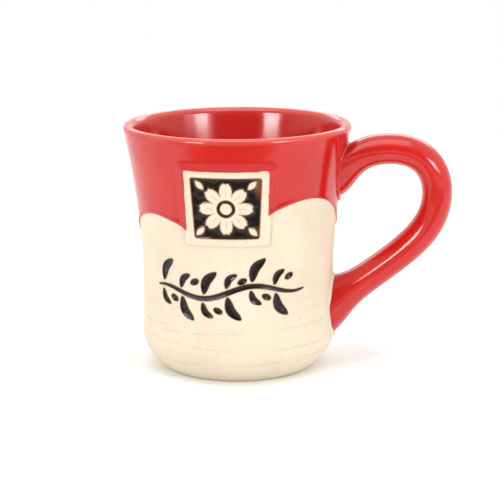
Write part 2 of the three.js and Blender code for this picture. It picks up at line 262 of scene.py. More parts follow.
def evenly(curve, samples):
    """The curve again, with its points evenly spaced along its length."""
    length = np.concatenate([[0], np.cumsum(np.linalg.norm(np.diff(curve, axis=0), axis=1))])
    even = np.linspace(0, length[-1], samples)
    return np.stack([np.interp(even, length, curve[:, axis]) for axis in range(curve.shape[1])], axis=-1)


def spline(pulls, samples):
    """A cubic spline drawn by the points that pull it, from the first of them to the last."""
    knots = np.concatenate([[0] * 3, np.linspace(0, 1, len(pulls) - 2), [1] * 3])
    share = np.linspace(0, 1 - 1e-9, 6000)[:, None]
    basis = ((share >= knots[:-1]) & (share < knots[1:])).astype(float)
    for degree in (1, 2, 3):
        span = knots[degree:] - knots[:-degree]
        rise = (share - knots[:-degree]) / np.where(span > 0, span, 1)
        basis = rise[:, :-1] * basis[:, :-1] + (1 - rise[:, 1:]) * basis[:, 1:]
    return evenly(basis @ np.asarray(pulls, dtype=float), samples)


def polygon_distance(x, y, polygon):
    """Signed distance to a closed polygon: positive inside it."""
    start = np.asarray(polygon, dtype=float)
    end = np.roll(start, -1, axis=0)
    best = np.full(np.shape(x), np.inf)
    odd = np.zeros(np.shape(x), dtype=bool)
    for (x0, y0), (x1, y1) in zip(start, end):
        dx, dy = x1 - x0, y1 - y0
        share = np.clip(((x - x0) * dx + (y - y0) * dy) / (dx * dx + dy * dy), 0, 1)
        best = np.minimum(best, (x - x0 - share * dx) ** 2 + (y - y0 - share * dy) ** 2)
        if y0 != y1:
            odd ^= ((y0 > y) != (y1 > y)) & (x < x0 + (y - y0) * dx / dy)
    return np.where(odd, 1, -1) * np.sqrt(best)


def smooth_step(value):
    value = np.clip(value, 0, 1)
    return value * value * (3 - 2 * value)


def round_edge(depth, width):
    """A quarter-round rise from 0 at an edge to 1 at width inside it."""
    share = np.clip(depth / width, 0, 1)
    return np.sqrt(1 - (1 - share) ** 2)


def waves(x, y, z, size, seed):
    """Soft irregular bumps of about the given size, between -1 and 1, the same every run."""
    source = np.random.default_rng(seed)
    total = np.zeros(np.broadcast(x, y, z).shape)
    for _ in range(7):
        direction = source.normal(size=3)
        direction *= source.uniform(0.7, 1.3) * 2 * math.pi / (size * np.linalg.norm(direction))
        phase = source.uniform(0, 6.28)
        total = total + np.sin(direction[0] * x + direction[1] * y + direction[2] * z + phase)
    return total / 4


# ---------------------------------------------------------------- the vessel's surface

def wall_radius(height):
    height = np.asarray(height, dtype=float)
    climb = np.clip((height - WAIST_HEIGHT) / (MUG_HEIGHT - WAIST_HEIGHT), 0, None)
    drop = np.clip((WAIST_HEIGHT - height) / (WAIST_HEIGHT - HEEL_HEIGHT), 0, 1)
    turn = np.clip((HEEL_HEIGHT - height) / HEEL_HEIGHT, 0, 1)
    upper = WAIST_RADIUS + (RIM_RADIUS - WAIST_RADIUS) * climb**2
    lower = (HIP_RADIUS - WAIST_RADIUS) * drop**2
    return upper + lower - (HIP_RADIUS - FOOT_RADIUS) * turn**HEEL_POWER


def on_wall(angle, height, out):
    """Points at an angle in degrees from the front, a height, and a distance out from the clay."""
    turn = np.radians(angle)
    radius = wall_radius(height) + out
    height = np.broadcast_to(height, radius.shape)
    return np.stack([radius * np.sin(turn), -radius * np.cos(turn), height], -1)


def angle_of(x, height):
    """The angle at which the wall stands at x, seen from the front."""
    return np.degrees(np.arcsin(np.clip(x / wall_radius(height), -1, 1)))


# ---------------------------------------------------------------- outlines

def tile_outline(side, top, bottom, corner, steps=8):
    """The tile's four-sided outline in x and z, inset by the amounts given, with round corners."""
    high, low = TILE_TOP - top, TILE_BOTTOM + bottom
    slope = math.sin(math.radians(TILE_HALF_ANGLE))
    half_high = float(wall_radius(high)) * slope - side
    half_low = float(wall_radius(low)) * slope - side
    centres = [
        (half_high - corner, high - corner, 0), (corner - half_high, high - corner, 90),
        (corner - half_low, low + corner, 180), (half_low - corner, low + corner, 270),
    ]
    points = []
    for x, z, start in centres:
        for turn in np.radians(np.linspace(start, start + 90, steps)):
            points.append((x + corner * math.cos(turn), z + corner * math.sin(turn)))
    return points


FIELD_MIDDLE = (TILE_TOP + TILE_BOTTOM) / 2 + (BOTTOM_MARGIN - TOP_MARGIN) / 2
FIELD_HALF_HEIGHT = (TILE_TOP - TILE_BOTTOM - TOP_MARGIN - BOTTOM_MARGIN) / 2
FIELD_HALF_WIDTH = float(wall_radius(FIELD_MIDDLE)) * math.sin(math.radians(TILE_HALF_ANGLE)) - SIDE_MARGIN
ROSETTE_RADIUS = min(FIELD_HALF_HEIGHT, FIELD_HALF_WIDTH) - ROSETTE_MARGIN


def rosette_outline():
    """Petals with notched tips and finely toothed sides."""
    petal = np.linspace(0, PETALS, PETALS * 40, endpoint=False)
    swing = np.abs(np.sin(math.pi * petal))
    across = np.abs(petal % 1 - 0.5)
    notch = 0.7 * np.clip(1 - across / 0.07, 0, 1)
    teeth = 0.32 * np.abs(np.sin(7 * math.pi * petal)) * swing
    reach = ROSETTE_RADIUS * (0.52 + 0.48 * swing**0.6) - notch + teeth
    turn = 2 * math.pi * (petal - 0.5) / PETALS + math.pi / 2
    return np.stack([reach * np.cos(turn), FIELD_MIDDLE + reach * np.sin(turn)], -1)


def corner_leaf_outline(side, up):
    half = CORNER_LEAF_LENGTH / 2
    inset = CORNER_LEAF_MARGIN + half * math.sqrt(0.5)
    middle = np.array([side * (FIELD_HALF_WIDTH - inset), FIELD_MIDDLE + up * (FIELD_HALF_HEIGHT - inset)])
    along = np.array([side, up]) / math.sqrt(2)
    across = np.array([-along[1], along[0]])
    share = np.linspace(-1, 1, 16)[:, None]
    bulge = CORNER_LEAF_WIDTH / 2 * (1 - share**2)
    edge = middle + share * half * along + bulge * across
    back = middle + share[::-1] * half * along - bulge[::-1] * across
    return np.vstack([edge, back[1:-1]])


def tile_depth(x, z):
    return polygon_distance(x, z, tile_outline(0, 0, 0, TILE_CORNER))


def field_depth(x, z):
    return polygon_distance(x, z, tile_outline(SIDE_MARGIN, TOP_MARGIN, BOTTOM_MARGIN, 1.0))


def motif_depth(x, z):
    depth = polygon_distance(x, z, rosette_outline())
    for side in (-1, 1):
        for up in (-1, 1):
            depth = np.maximum(depth, polygon_distance(x, z, corner_leaf_outline(side, up)))
    return depth


def heart_depth(x, z):
    """Positive inside the ring groove round the rosette's heart."""
    reach = np.hypot(x, z - FIELD_MIDDLE)
    return np.minimum(reach - HEART_RADIUS, HEART_RADIUS + HEART_RING - reach)


def window_depth(x, z):
    """Positive inside the bare window that the resist left in the glaze. It runs out at the hem."""
    edge = tile_outline(GLAZE_LAP, GLAZE_LAP, GLAZE_LAP, 0.9)
    low = [(x0, z0 - 60 if z0 < FIELD_MIDDLE else z0) for x0, z0 in edge]
    nick = NICK_DEPTH * smooth_step((z - NICK_HEIGHT) / 0.5) * smooth_step((x - NICK_SIDE) / 2)
    return polygon_distance(x, z, low) + nick + 0.1 * waves(x, 0 * x, z, 5, 3)


# ---------------------------------------------------------------- the vine

def stem_height(along):
    return STEM_WAVE * math.sin(2 * math.pi * along / STEM_WAVE_LENGTH) + STEM_RISE * along


def leaf_path(root, up):
    start = stem_height(root) + up * (LEAF_GAP + STEM_WIDTH / 2)
    return [
        (root, start),
        (root + 0.12 * LEAF_LENGTH, start + 0.5 * up * LEAF_LENGTH),
        (root + 0.5 * LEAF_LENGTH, start + 0.86 * up * LEAF_LENGTH),
    ]


def leaflet_path(root, up):
    start = stem_height(root) + up * (LEAF_GAP + STEM_WIDTH / 2)
    return [
        (root - 0.5, start),
        (root + 0.1 * LEAFLET_LENGTH, start + 0.55 * up * LEAFLET_LENGTH),
        (root + 0.55 * LEAFLET_LENGTH, start + 0.85 * up * LEAFLET_LENGTH),
    ]


def berry_path(root, up):
    start = stem_height(root) + up * (LEAF_GAP + STEM_WIDTH / 2 + BERRY_OFFSET)
    middle = root + 0.6 * LEAF_SPACING
    return [
        (middle - BERRY_LENGTH / 2, start - up * BERRY_LENGTH / 4),
        (middle, start),
        (middle + BERRY_LENGTH / 2, start + up * BERRY_LENGTH / 4),
    ]


def vine_strokes():
    """Node name to (points along the stroke, half widths there), in millimetres on the wall."""
    ends = np.linspace(-VINE_HALF_LENGTH, VINE_HALF_LENGTH, 17)
    paths = {"vine_stem": ([(along, stem_height(along)) for along in ends], STEM_WIDTH)}
    for leaf in range(LEAVES):
        root = (leaf - LEAVES / 2) * LEAF_SPACING
        up = -1 if leaf % 2 else 1
        paths[f"vine_leaf_{leaf + 1}"] = (leaf_path(root, up), LEAF_WIDTH)
        paths[f"vine_leaflet_{leaf + 1}"] = (leaflet_path(root, -up), LEAFLET_WIDTH)
        paths[f"vine_berry_{leaf + 1}"] = (berry_path(root, -up), BERRY_WIDTH)
    strokes = {}
    for name, (path, width) in paths.items():
        length = np.linalg.norm(np.diff(np.array(path), axis=0), axis=1).sum()
        points = catmull_rom(path, max(12, round(length / 0.14)))
        share = np.linspace(0, 1, len(points))
        half = (TIP_WIDTH + (width - TIP_WIDTH) * np.sin(math.pi * share).clip(0) ** 0.7) / 2
        strokes[name] = (points, half)
    return strokes


def stroke_depth(along, up, stroke):
    """Positive inside the stroke: how deep in from its edge."""
    points, half = stroke
    depth = np.full(np.shape(along), -np.inf)
    near = (
        (along > points[:, 0].min() - 3) & (along < points[:, 0].max() + 3)
        & (up > points[:, 1].min() - 3) & (up < points[:, 1].max() + 3)
    )
    a, u = along[near], up[near]
    best = np.full(a.shape, -np.inf)
    for (x, y), width in zip(points, half):
        best = np.maximum(best, width - np.hypot(a - x, u - y))
    depth[near] = best
    return depth


STROKES = vine_strokes()


def vine_depth(angle, height):
    along = np.radians(angle) * WAIST_RADIUS
    up = height - VINE_MIDDLE
    depth = np.full(np.shape(angle), -9.0)
    for stroke in STROKES.values():
        depth = np.maximum(depth, stroke_depth(along, up, stroke))
    return depth


# ---------------------------------------------------------------- clay pieces

# Faint rings left by trimming: height, tilt, where it is highest, depth
TURNING_MARKS = [
    (21.6, 1.9, 75, 0.1), (20.2, 2.6, 40, 0.05), (15.5, 1.2, 200, 0.06),
    (8.0, 0.7, 10, 0.1), (9.3, 0.5, 300, 0.06),
]
LIP_HEIGHT = MUG_HEIGHT - 0.6 - WALL / 2
LIP_SLOPE = 2 * (RIM_RADIUS - WAIST_RADIUS) * (LIP_HEIGHT - WAIST_HEIGHT) / (MUG_HEIGHT - WAIST_HEIGHT) ** 2


def lip_curve(grow, count):
    """The rounded lip from the outer wall to the inner one, in line with both."""
    turn = np.linspace(0, math.pi, count)
    half = WALL / 2 + grow
    rise = half * np.sin(turn)
    middle = float(wall_radius(LIP_HEIGHT)) - WALL / 2
    return np.stack([middle + half * np.cos(turn) + LIP_SLOPE * rise, LIP_HEIGHT + rise], -1)


def inside_curve(grow, count):
    """Down the inner wall and round the corner to the floor, nearly to the axis."""
    bottom = FLOOR_TOP + CORNER_RADIUS
    heights = np.linspace(LIP_HEIGHT, bottom, count)
    wall = np.stack([wall_radius(heights) - WALL - grow, heights], -1)
    turn = np.linspace(0, math.pi / 2, 14)[1:]
    middle = float(wall_radius(bottom)) - WALL - CORNER_RADIUS
    reach = CORNER_RADIUS - grow
    corner = np.stack([middle + reach * np.cos(turn), bottom - reach * np.sin(turn)], -1)
    flat = np.linspace(middle, 1.5, 9)[1:]
    floor = np.stack([flat, np.full(flat.shape, FLOOR_TOP + grow)], -1)
    return np.vstack([wall[1:], corner, floor])


def turned(profile, angles):
    """Profile rows (radius, height) turned round the axis: rows x columns x 3."""
    turn = np.radians(angles)
    radius = profile[:, :1]
    height = np.broadcast_to(profile[:, 1:], (len(profile), len(turn)))
    return np.stack([radius * np.sin(turn), -radius * np.cos(turn), height], -1)


def with_poles(grid, faces, first, last):
    """Closes a turned grid with a point on the axis at each end, at the heights first and last."""
    rows, columns = grid.shape[:2]
    count = rows * columns
    points = np.vstack([grid.reshape(-1, 3), [[0, 0, first], [0, 0, last]]])
    fans = []
    for at in range(columns):
        beside = (at + 1) % columns
        fans.append([count, beside, at])
        fans.append([count + 1, (rows - 1) * columns + at, (rows - 1) * columns + beside])
    return points, [*faces.tolist(), *fans]


def vessel_body():
    """The clay vessel, with its incised grooves, the seat of the tile and the marks of turning."""
    fine = np.arange(-52, 52.01, 0.48)
    coarse = np.arange(54, 306.01, 3.0)
    angles = np.concatenate([fine, coarse])
    recess = FOOT_RADIUS - FOOT_RING_WIDTH
    foot = [
        (4, FOOT_RECESS), (14, FOOT_RECESS), (recess - 1, FOOT_RECESS), (recess, FOOT_RECESS * 0.8),
        (recess + 0.6, 0.15), (recess + 1.1, 0), (FOOT_RADIUS - 1.2, 0), (FOOT_RADIUS - 0.5, 0.08),
    ]
    heights = np.concatenate([
        np.linspace(0.35, HEEL_HEIGHT + 3, 22),
        np.arange(HEEL_HEIGHT + 4, 24, 0.7),
        np.arange(24, 53, 0.33),
        np.arange(53.4, LIP_HEIGHT, 0.9),
    ])
    outside = np.stack([wall_radius(heights) - 0.25 * np.exp(-heights / 0.4), heights], -1)
    first, last = len(foot), len(foot) + len(heights)
    profile = np.vstack([foot, outside, lip_curve(0, 11), inside_curve(0, 24)])
    grid = turned(profile, angles)

    angle, height = np.meshgrid(angles, heights)
    x = wall_radius(height) * np.sin(np.radians(angle))
    front = np.cos(np.radians(angle)) > 0.5
    tile = np.where(front, tile_depth(x, height), -9)
    seat = -(TILE_SEAT + 0.3) * smooth_step((tile - 0.7) / 1.2) - 0.32 * np.exp(-((tile / 0.45) ** 2))
    groove = vine_depth(angle, height)
    cut = -GROOVE_DEPTH * smooth_step((groove + 0.03) / 0.55)
    surface = turned(outside, angles)
    turning = np.zeros_like(height)
    turning_line_grey = np.zeros_like(height)
    for level, tilt, phase, depth in TURNING_MARKS:
        ring = level + tilt * np.sin(np.radians(angle + phase))
        seed = round(10 * level)
        patchy = smooth_step(0.5 + waves(surface[..., 0], surface[..., 1], surface[..., 2], 26, seed))
        mark = np.exp(-(((height - ring) / 0.3) ** 2)) * patchy
        turning -= depth * mark
        # Each turning mark also greys the clay's colour a little along its ring.
        turning_line_grey += mark
    uneven = 0.1 * waves(surface[..., 0], surface[..., 1], surface[..., 2], 42, 5)
    uneven += 0.025 * waves(surface[..., 0], surface[..., 1], surface[..., 2], 9, 6)
    out = seat + cut + turning + uneven * smooth_step(height / 6)
    grid[first:last, :, 0] += out * np.sin(np.radians(angle))
    grid[first:last, :, 1] -= out * np.cos(np.radians(angle))

    stain_and_crease_shade, turning_line_greys = np.zeros((2, *grid.shape[:2]))
    stain_and_crease_shade[first:last] = np.clip(1 - np.abs(groove) / 0.42, 0, 1) + (groove > 0)
    # A faint brown darkening along the crease round the tile: painted shade in the crease.
    stain_and_crease_shade[first:last] += 0.1 * np.exp(-((tile / 0.35) ** 2))
    turning_line_greys[first:last] = turning_line_grey
    faces = grid_faces(len(profile), len(angles), wraps_columns=True)
    points, faces = with_poles(grid, faces, FOOT_RECESS, FLOOR_TOP)
    stain_and_crease_shade, turning_line_greys = (np.concatenate([layer.reshape(-1).clip(0, 1), [0, 0]]) for layer in (stain_and_crease_shade, turning_line_greys))
    return mesh_piece("clay_vessel", points, faces, ["vessel_body"],
                      {"stain_and_crease_shade": stain_and_crease_shade, "turning_line_grey": turning_line_greys})


def on_tile(points, out):
    """Points at x, height and a distance out from the wall."""
    x, height = points[:, 0], points[:, 1]
    return on_wall(angle_of(x, height), height, out)


def medallion_tile():
    """The applied tile: its rim, the sunk field, and the rosette and leaves that stand in it."""
    half = tile_high[0] + TILE_STEP
    xs = np.arange(-half, half + TILE_STEP, TILE_STEP)
    zs = np.arange(TILE_BOTTOM - TILE_STEP / 2, TILE_TOP + TILE_STEP, TILE_STEP)
    points, faces = clipped_sheet(xs, zs, tile_depth)
    x, z = points[:, 0], points[:, 1]
    rim, field, motif, heart = tile_depth(x, z), field_depth(x, z), motif_depth(x, z), heart_depth(x, z)
    sunk = np.maximum(np.minimum(field, -motif), heart)
    turn = np.arctan2(z - FIELD_MIDDLE, x)
    reach = np.hypot(x, z - FIELD_MIDDLE)
    vein = np.abs((turn * PETALS / (2 * math.pi) + 0.5) % 1 - 0.5) * 2 * math.pi / PETALS * reach
    veined = smooth_step((reach - 4.6) / 0.6) * smooth_step((ROSETTE_RADIUS - 2.2 - reach) / 0.8)
    line = np.clip(1 - vein / 0.22, 0, 1) * veined
    top = -0.3 + (TILE_FACE + 0.3) * round_edge(rim, 0.9)
    top = top - FIELD_DEPTH * smooth_step(sunk / 0.34) - 0.22 * line
    top = top - 0.12 * smooth_step(1 - motif / 0.6) * (motif > 0)
    top = top + 0.03 * waves(x, 0 * x, z, 8, 11)
    edge = np.clip(1 - np.abs(sunk) / 0.4, 0, 1) * (motif < 0.4)
    stain_and_crease_shade = np.clip(0.8 * edge + (sunk > 0) + 0.7 * line, 0, 1)
    skirt = np.full(len(points), -TILE_SEAT - 0.1)
    solid, closed = closed_sheet(on_tile(points, top), on_tile(points, skirt), faces)
    return mesh_piece("clay_medallion", solid, closed, ["medallion_tile"],
                      {"stain_and_crease_shade": np.tile(stain_and_crease_shade, 2)})


# ---------------------------------------------------------------- dark glaze

def medallion_pool(name, node, depth, low, high):
    """Dark glaze lying in the sunk field, drawn up a little where it touches the clay."""
    xs = np.arange(low[0], high[0], TILE_STEP)
    zs = np.arange(low[1], high[1], TILE_STEP)
    points, faces = clipped_sheet(xs, zs, lambda x, z: depth(x, z) + 0.07)
    x, z = points[:, 0], points[:, 1]
    away = np.clip(depth(x, z), 0, None)
    top = TILE_FACE - 0.5 + 0.42 * np.exp(-away / 0.5) + 0.05 * waves(x, 0 * x, z, 4, 21)
    bottom = np.full(len(points), TILE_FACE - FIELD_DEPTH - 0.05)
    patches = waves(x, 0 * x, z, 9, 33) + 0.045 * x - 0.55
    thin_and_lip_highlight = np.clip(smooth_step(patches / 0.6) + 0.9 * np.exp(-((away / 0.22) ** 2)), 0, 1)
    solid, closed = closed_sheet(on_tile(points, top), on_tile(points, bottom), faces)
    return mesh_piece(name, solid, closed, [node], {"thin_and_lip_highlight": np.tile(thin_and_lip_highlight, 2)})


def stroke_pool(name, stroke):
    """The glaze in one incised stroke, hollowed a little between the groove's edges."""
    points, half = stroke
    margin = half.max() + 0.3
    xs = np.arange(points[:, 0].min() - margin, points[:, 0].max() + margin, STROKE_STEP)
    ys = np.arange(points[:, 1].min() - margin, points[:, 1].max() + margin, STROKE_STEP)
    sheet, faces = clipped_sheet(xs, ys, lambda x, y: stroke_depth(x, y, stroke) + 0.05)
    depth = stroke_depth(sheet[:, 0], sheet[:, 1], stroke)
    angle = np.degrees(sheet[:, 0] / WAIST_RADIUS)
    height = sheet[:, 1] + VINE_MIDDLE
    top = 0.04 - 0.42 * smooth_step(depth / 1.1)
    bottom = np.full(len(sheet), -GROOVE_DEPTH - 0.05)
    patches = waves(sheet[:, 0], sheet[:, 1], 0 * depth, 6, 41) - 0.85
    thin_and_lip_highlight = np.clip(smooth_step(patches / 0.5) + 0.8 * (depth < 0.06), 0, 1)
    solid, closed = closed_sheet(on_wall(angle, height, top), on_wall(angle, height, bottom), faces)
    return mesh_piece(f"{name}_glaze", solid, closed, [name], {"thin_and_lip_highlight": np.tile(thin_and_lip_highlight, 2)})


# ---------------------------------------------------------------- red glaze

def hem_height(angle):
    """The hem's scallops, with their meeting points rounded as the glaze flowed."""
    soft = 1.1
    tops = [
        MUG_HEIGHT - below - ARCH_FALL * (1 - np.cos(np.radians(angle - middle)))
        for middle, below in ARCHES
    ]
    rounded = soft * np.log(sum(np.exp(top / soft) for top in tops))
    turn = np.radians(angle)
    return rounded + 0.28 * waves(40 * np.sin(turn), 40 * np.cos(turn), 0 * turn, 11, 8)


def hem_depth(angle, height):
    slope = (hem_height(angle + 0.5) - hem_height(angle - 0.5)) / (np.radians(1.0) * wall_radius(height))
    return (height - hem_height(angle)) / np.sqrt(1 + slope**2)


def glaze_depth(angle, height):
    turn = np.radians(angle)
    x = wall_radius(height) * np.sin(turn)
    window = np.where(np.cos(turn) > 0.5, window_depth(x, height), -9)
    return np.minimum(hem_depth(angle, height), -window)


def outer_glaze():
    """The dipped coat from its thick rounded hem up to the lip."""
    angles = np.concatenate([
        np.arange(-29, 29.01, 0.42),
        np.arange(30.5, 330.6, 1.5),
    ])
    heights = np.concatenate([
        np.arange(52.5, 76, 0.36),
        np.arange(76, 85.5, 0.8),
        np.arange(85.5, 88.5, 0.28),
        np.linspace(89.2, LIP_HEIGHT - 0.1, 11),
        [LIP_HEIGHT - 0.05, LIP_HEIGHT],
    ])
    points, faces = clipped_sheet(angles, heights, glaze_depth, wraps=True)
    angle, height = points[:, 0], points[:, 1]
    turn = np.radians(angle)
    x = wall_radius(height) * np.sin(turn)
    depth = np.clip(glaze_depth(angle, height), 0, None)
    tile = np.where(np.cos(turn) > 0.5, tile_depth(x, height), -9)
    base = TILE_FACE * smooth_step((tile + 1.9) / 3.5) - 0.05 * np.exp(-(((tile + 1.6) / 0.7) ** 2))
    hem = np.clip(hem_depth(angle, height), 0, None)
    bead = HEM_BEAD * np.exp(-(((hem - 0.9) / 0.9) ** 2))
    y = -wall_radius(height) * np.cos(turn)
    ripple = 0.035 * waves(x, y, height, 13, 14)
    to_lip = smooth_step((LIP_HEIGHT - height) / 4)
    edge = round_edge(depth, EDGE_ROUND)
    top = base + GLAZE * edge + (bead * edge + ripple) * to_lip
    top = np.where(depth <= 0, base - 0.02, top) - 0.1 * (height > LIP_HEIGHT - 0.01)
    pooled = np.clip(bead / HEM_BEAD + 0.8 * np.exp(-(((tile + 0.3) / 0.5) ** 2)), 0, 1)
    thin_and_lip_highlight = np.clip(np.exp(-depth / 0.25), 0, 1)
    solid, closed = closed_sheet(on_wall(angle, height, top), on_wall(angle, height, base - 0.14), faces)
    return mesh_piece("red_glaze_outside", solid, closed, ["outer_glaze"],
                      {"thin_and_lip_highlight": np.tile(thin_and_lip_highlight, 2), "pooled": np.tile(pooled, 2)})


def liner_glaze():
    """The coat inside, from the outer shoulder of the lip down to the floor."""
    angles = np.arange(0, 360, 2.0)
    shoulder = [(float(wall_radius(LIP_HEIGHT - drop)) + out, LIP_HEIGHT - drop)
                for drop, out in ((0.2, GLAZE - 0.1), (0.15, GLAZE), (0.1, GLAZE))]
    face = np.vstack([shoulder, lip_curve(GLAZE, 25), inside_curve(GLAZE, 44)])
    back = np.vstack([lip_curve(-GLAZE_SINK, 21), inside_curve(-GLAZE_SINK, 44)])
    profile = np.vstack([back[::-1], face])
    grid = turned(profile, angles)
    ring = np.hypot(grid[..., 0], grid[..., 1])
    ripple = 0.03 * waves(grid[..., 0], grid[..., 1], grid[..., 2], 16, 17)
    ripple *= smooth_step((LIP_HEIGHT - grid[..., 2]) / 6) * smooth_step((ring - 5) / 10)
    ripple[: len(back)] = 0
    grid[..., 0] -= ripple * grid[..., 0] / ring
    grid[..., 1] -= ripple * grid[..., 1] / ring
    faces = grid_faces(len(profile), len(angles), wraps_columns=True)
    points, faces = with_poles(grid, faces, FLOOR_TOP - GLAZE_SINK, FLOOR_TOP + GLAZE)
    height = points[:, 2]
    # Lighter round the lip: partly the glaze running thin over the rim, partly a painted highlight.
    thin_and_lip_highlight = 0.7 * np.exp(-(((height - MUG_HEIGHT) / 1.9) ** 2))
    return mesh_piece("red_glaze_inside", points, faces, ["liner_glaze"],
                      {"thin_and_lip_highlight": thin_and_lip_highlight, "pooled": 0 * thin_and_lip_highlight})


# ---------------------------------------------------------------- handle

def handle_skin(grow, sides):
    """Points on the handle's surface: places along it x sides round it x 3."""
    low_wall, high_wall = float(wall_radius(LOWER_JOINT)), float(wall_radius(UPPER_JOINT))
    pulls = []
    for out, up in HANDLE_PULLS:
        wall = low_wall + (high_wall - low_wall) * min(max(up, 0), 1)
        pulls.append((wall + out * HANDLE_REACH, LOWER_JOINT + up * (UPPER_JOINT - LOWER_JOINT)))
    line = spline(pulls, HANDLE_SAMPLES)
    tangent = np.gradient(line, axis=0)
    tangent /= np.linalg.norm(tangent, axis=1)[:, None]
    outward = np.stack([-tangent[:, 1], tangent[:, 0]], -1)
    stand_off = line[:, 0] - wall_radius(line[:, 1])
    near = FLARE_LIMIT / (1 + np.exp((stand_off - FLARE_MIDDLE) / FLARE_LENGTH))
    upper_half = np.linspace(0, 1, len(line))[:, None] < 0.5
    flare = np.where(upper_half, UPPER_FLARE, LOWER_FLARE) * near[:, None]
    turn = np.radians(np.arange(0, 360, 360 / sides))[None, :]
    swell = np.where(np.cos(turn) > 0, flare[:, 1:2], flare[:, :1])
    across = (HANDLE_THICKNESS / 2 + swell + grow) * np.cos(turn)
    x = line[:, :1] + outward[:, :1] * across
    z = line[:, 1:] + outward[:, 1:] * across
    y = -(HANDLE_WIDTH / 2 + flare[:, 2:] + grow) * np.sin(turn)
    return np.stack([x, y, z], -1)


def wall_crossing(skin, sink):
    """For each line along the handle, where it leaves the wall and where it comes back to it."""
    gap = np.hypot(skin[..., 0], skin[..., 1]) - (wall_radius(skin[..., 2]) - sink)
    inside = gap < 0
    half = len(skin) // 2
    start = np.array([np.flatnonzero(column[:half])[-1] for column in inside.T])
    end = np.array([half + np.flatnonzero(column[half:])[0] for column in inside.T])

    def refine(at):
        columns = np.arange(skin.shape[1])
        a, b = gap[at, columns], gap[at + 1, columns]
        return at + a / (a - b)

    return refine(start), refine(end - 1)


def sample_skin(skin, places):
    """Points at fractional places along each line of the handle's surface."""
    low = np.clip(np.floor(places).astype(int), 0, len(skin) - 2)
    share = (places - low)[..., None]
    columns = np.arange(skin.shape[1])
    return skin[low, columns] * (1 - share) + skin[low + 1, columns] * share


def handle_glaze():
    """The handle's glazed surface, ending just under the skin of the wall."""
    skin = handle_skin(0.48, GLAZE_SIDES)
    start, end = wall_crossing(skin, 0.6)
    share = np.linspace(0, 1, HANDLE_ROWS)[:, None]
    grid = sample_skin(skin, start + (end - start) * share)
    bulge = 0.05 * waves(grid[..., 0], grid[..., 1], grid[..., 2], 24, 51)
    middle = grid.mean(axis=1, keepdims=True)
    away = grid - middle
    grid = middle + away * (1 + bulge / np.linalg.norm(away, axis=-1))[..., None]
    columns = grid.shape[1]
    faces = grid_faces(HANDLE_ROWS, columns, wraps_columns=True).tolist()
    count = HANDLE_ROWS * columns
    points = np.vstack([grid.reshape(-1, 3), grid[0].mean(axis=0), grid[-1].mean(axis=0)])
    for at in range(columns):
        beside = (at + 1) % columns
        faces.append([count, beside, at])
        faces.append([count + 1, count - columns + at, count - columns + beside])
    flat = np.zeros(len(points))
    return mesh_piece("red_glaze_handle", points, faces, ["handle_glaze"],
                      {"thin_and_lip_highlight": flat, "pooled": flat})


def slip_bead(name, node, upper, size, out, uneven):
    """The bead of slip pressed round the handle's end, half sunk in the wall and the handle."""
    skin = handle_skin(0.5, BEAD_SIDES)
    crossing = wall_crossing(skin, 0)[0 if upper else 1]
    ring = sample_skin(skin, crossing)
    centre = ring.mean(axis=0)
    along = np.roll(ring, -1, axis=0) - np.roll(ring, 1, axis=0)
    along /= np.linalg.norm(along, axis=1)[:, None]
    radial = np.stack([ring[:, 0], ring[:, 1], 0 * ring[:, 0]], -1)
    wall = radial / np.linalg.norm(radial, axis=1)[:, None]
    aside = np.cross(along, wall)
    aside *= np.sign(((ring - centre) * aside).sum(axis=1))[:, None]
    lumps = 1 + uneven * waves(ring[:, 0], ring[:, 1], ring[:, 2], 7, 61)
    spread = size * lumps[:, None]
    turn = np.radians(np.arange(0, 360, 20))
    grid = np.array([
        ring + wall * (out + spread * math.sin(angle)) + aside * (0.15 * size + spread * math.cos(angle))
        for angle in turn
    ])
    faces = grid_faces(len(turn), len(ring), wraps_rows=True, wraps_columns=True)
    if not upper:
        # The handle arrives at the wall here, so this ring runs the other way round.
        faces = faces[:, ::-1]
    flat = np.zeros(grid.shape[0] * grid.shape[1])
    return mesh_piece(name, grid.reshape(-1, 3), faces, [node],
                      {"thin_and_lip_highlight": flat, "pooled": flat, "stain_and_crease_shade": flat})


# ---------------------------------------------------------------- materials

def new_material(name):
    material = bpy.data.materials.new(name)
    material.use_nodes = True
    return material, material.node_tree, material.node_tree.nodes["Principled BSDF"]


def node(tree, kind, inputs=None, **settings):
    """A new node, with its settings, and each input given as a value or as an output to link."""
    made = tree.nodes.new(kind)
    for key, value in settings.items():
        setattr(made, key, value)
    for key, value in (inputs or {}).items():
        if isinstance(value, bpy.types.NodeSocket):
            tree.links.new(value, made.inputs[key])
        else:
            made.inputs[key].default_value = value
    return made


def noise(tree, size_mm, detail=2.0, roughness=0.5):
    """Noise with features of about the given size, from 0 to 1 round a middle of 0.5."""
    place = node(tree, "ShaderNodeTexCoord").outputs["Object"]
    return node(
        tree, "ShaderNodeTexNoise",
        {"Vector": place, "Scale": 1 / (size_mm * MM), "Detail": detail, "Roughness": roughness},
    ).outputs["Fac"]


def remap(tree, value, low, high, to_low=0.0, to_high=1.0):
    return node(
        tree, "ShaderNodeMapRange",
        {"Value": value, "From Min": low, "From Max": high, "To Min": to_low, "To Max": to_high},
    ).outputs["Result"]


def mix_colour(tree, share, first, second, blend="MIX"):
    mixer = node(tree, "ShaderNodeMix", data_type="RGBA", blend_type=blend)
    for socket, value in ((mixer.inputs[0], share), (mixer.inputs[6], first), (mixer.inputs[7], second)):
        if isinstance(value, bpy.types.NodeSocket):
            tree.links.new(value, socket)
        else:
            socket.default_value = (*value, 1) if isinstance(value, tuple) else value
    return mixer.outputs[2]


def math_node(tree, operation, first, second):
    return node(tree, "ShaderNodeMath", {0: first, 1: second}, operation=operation).outputs[0]


def attribute(tree, name):
    return node(tree, "ShaderNodeAttribute", attribute_name=name).outputs["Fac"]


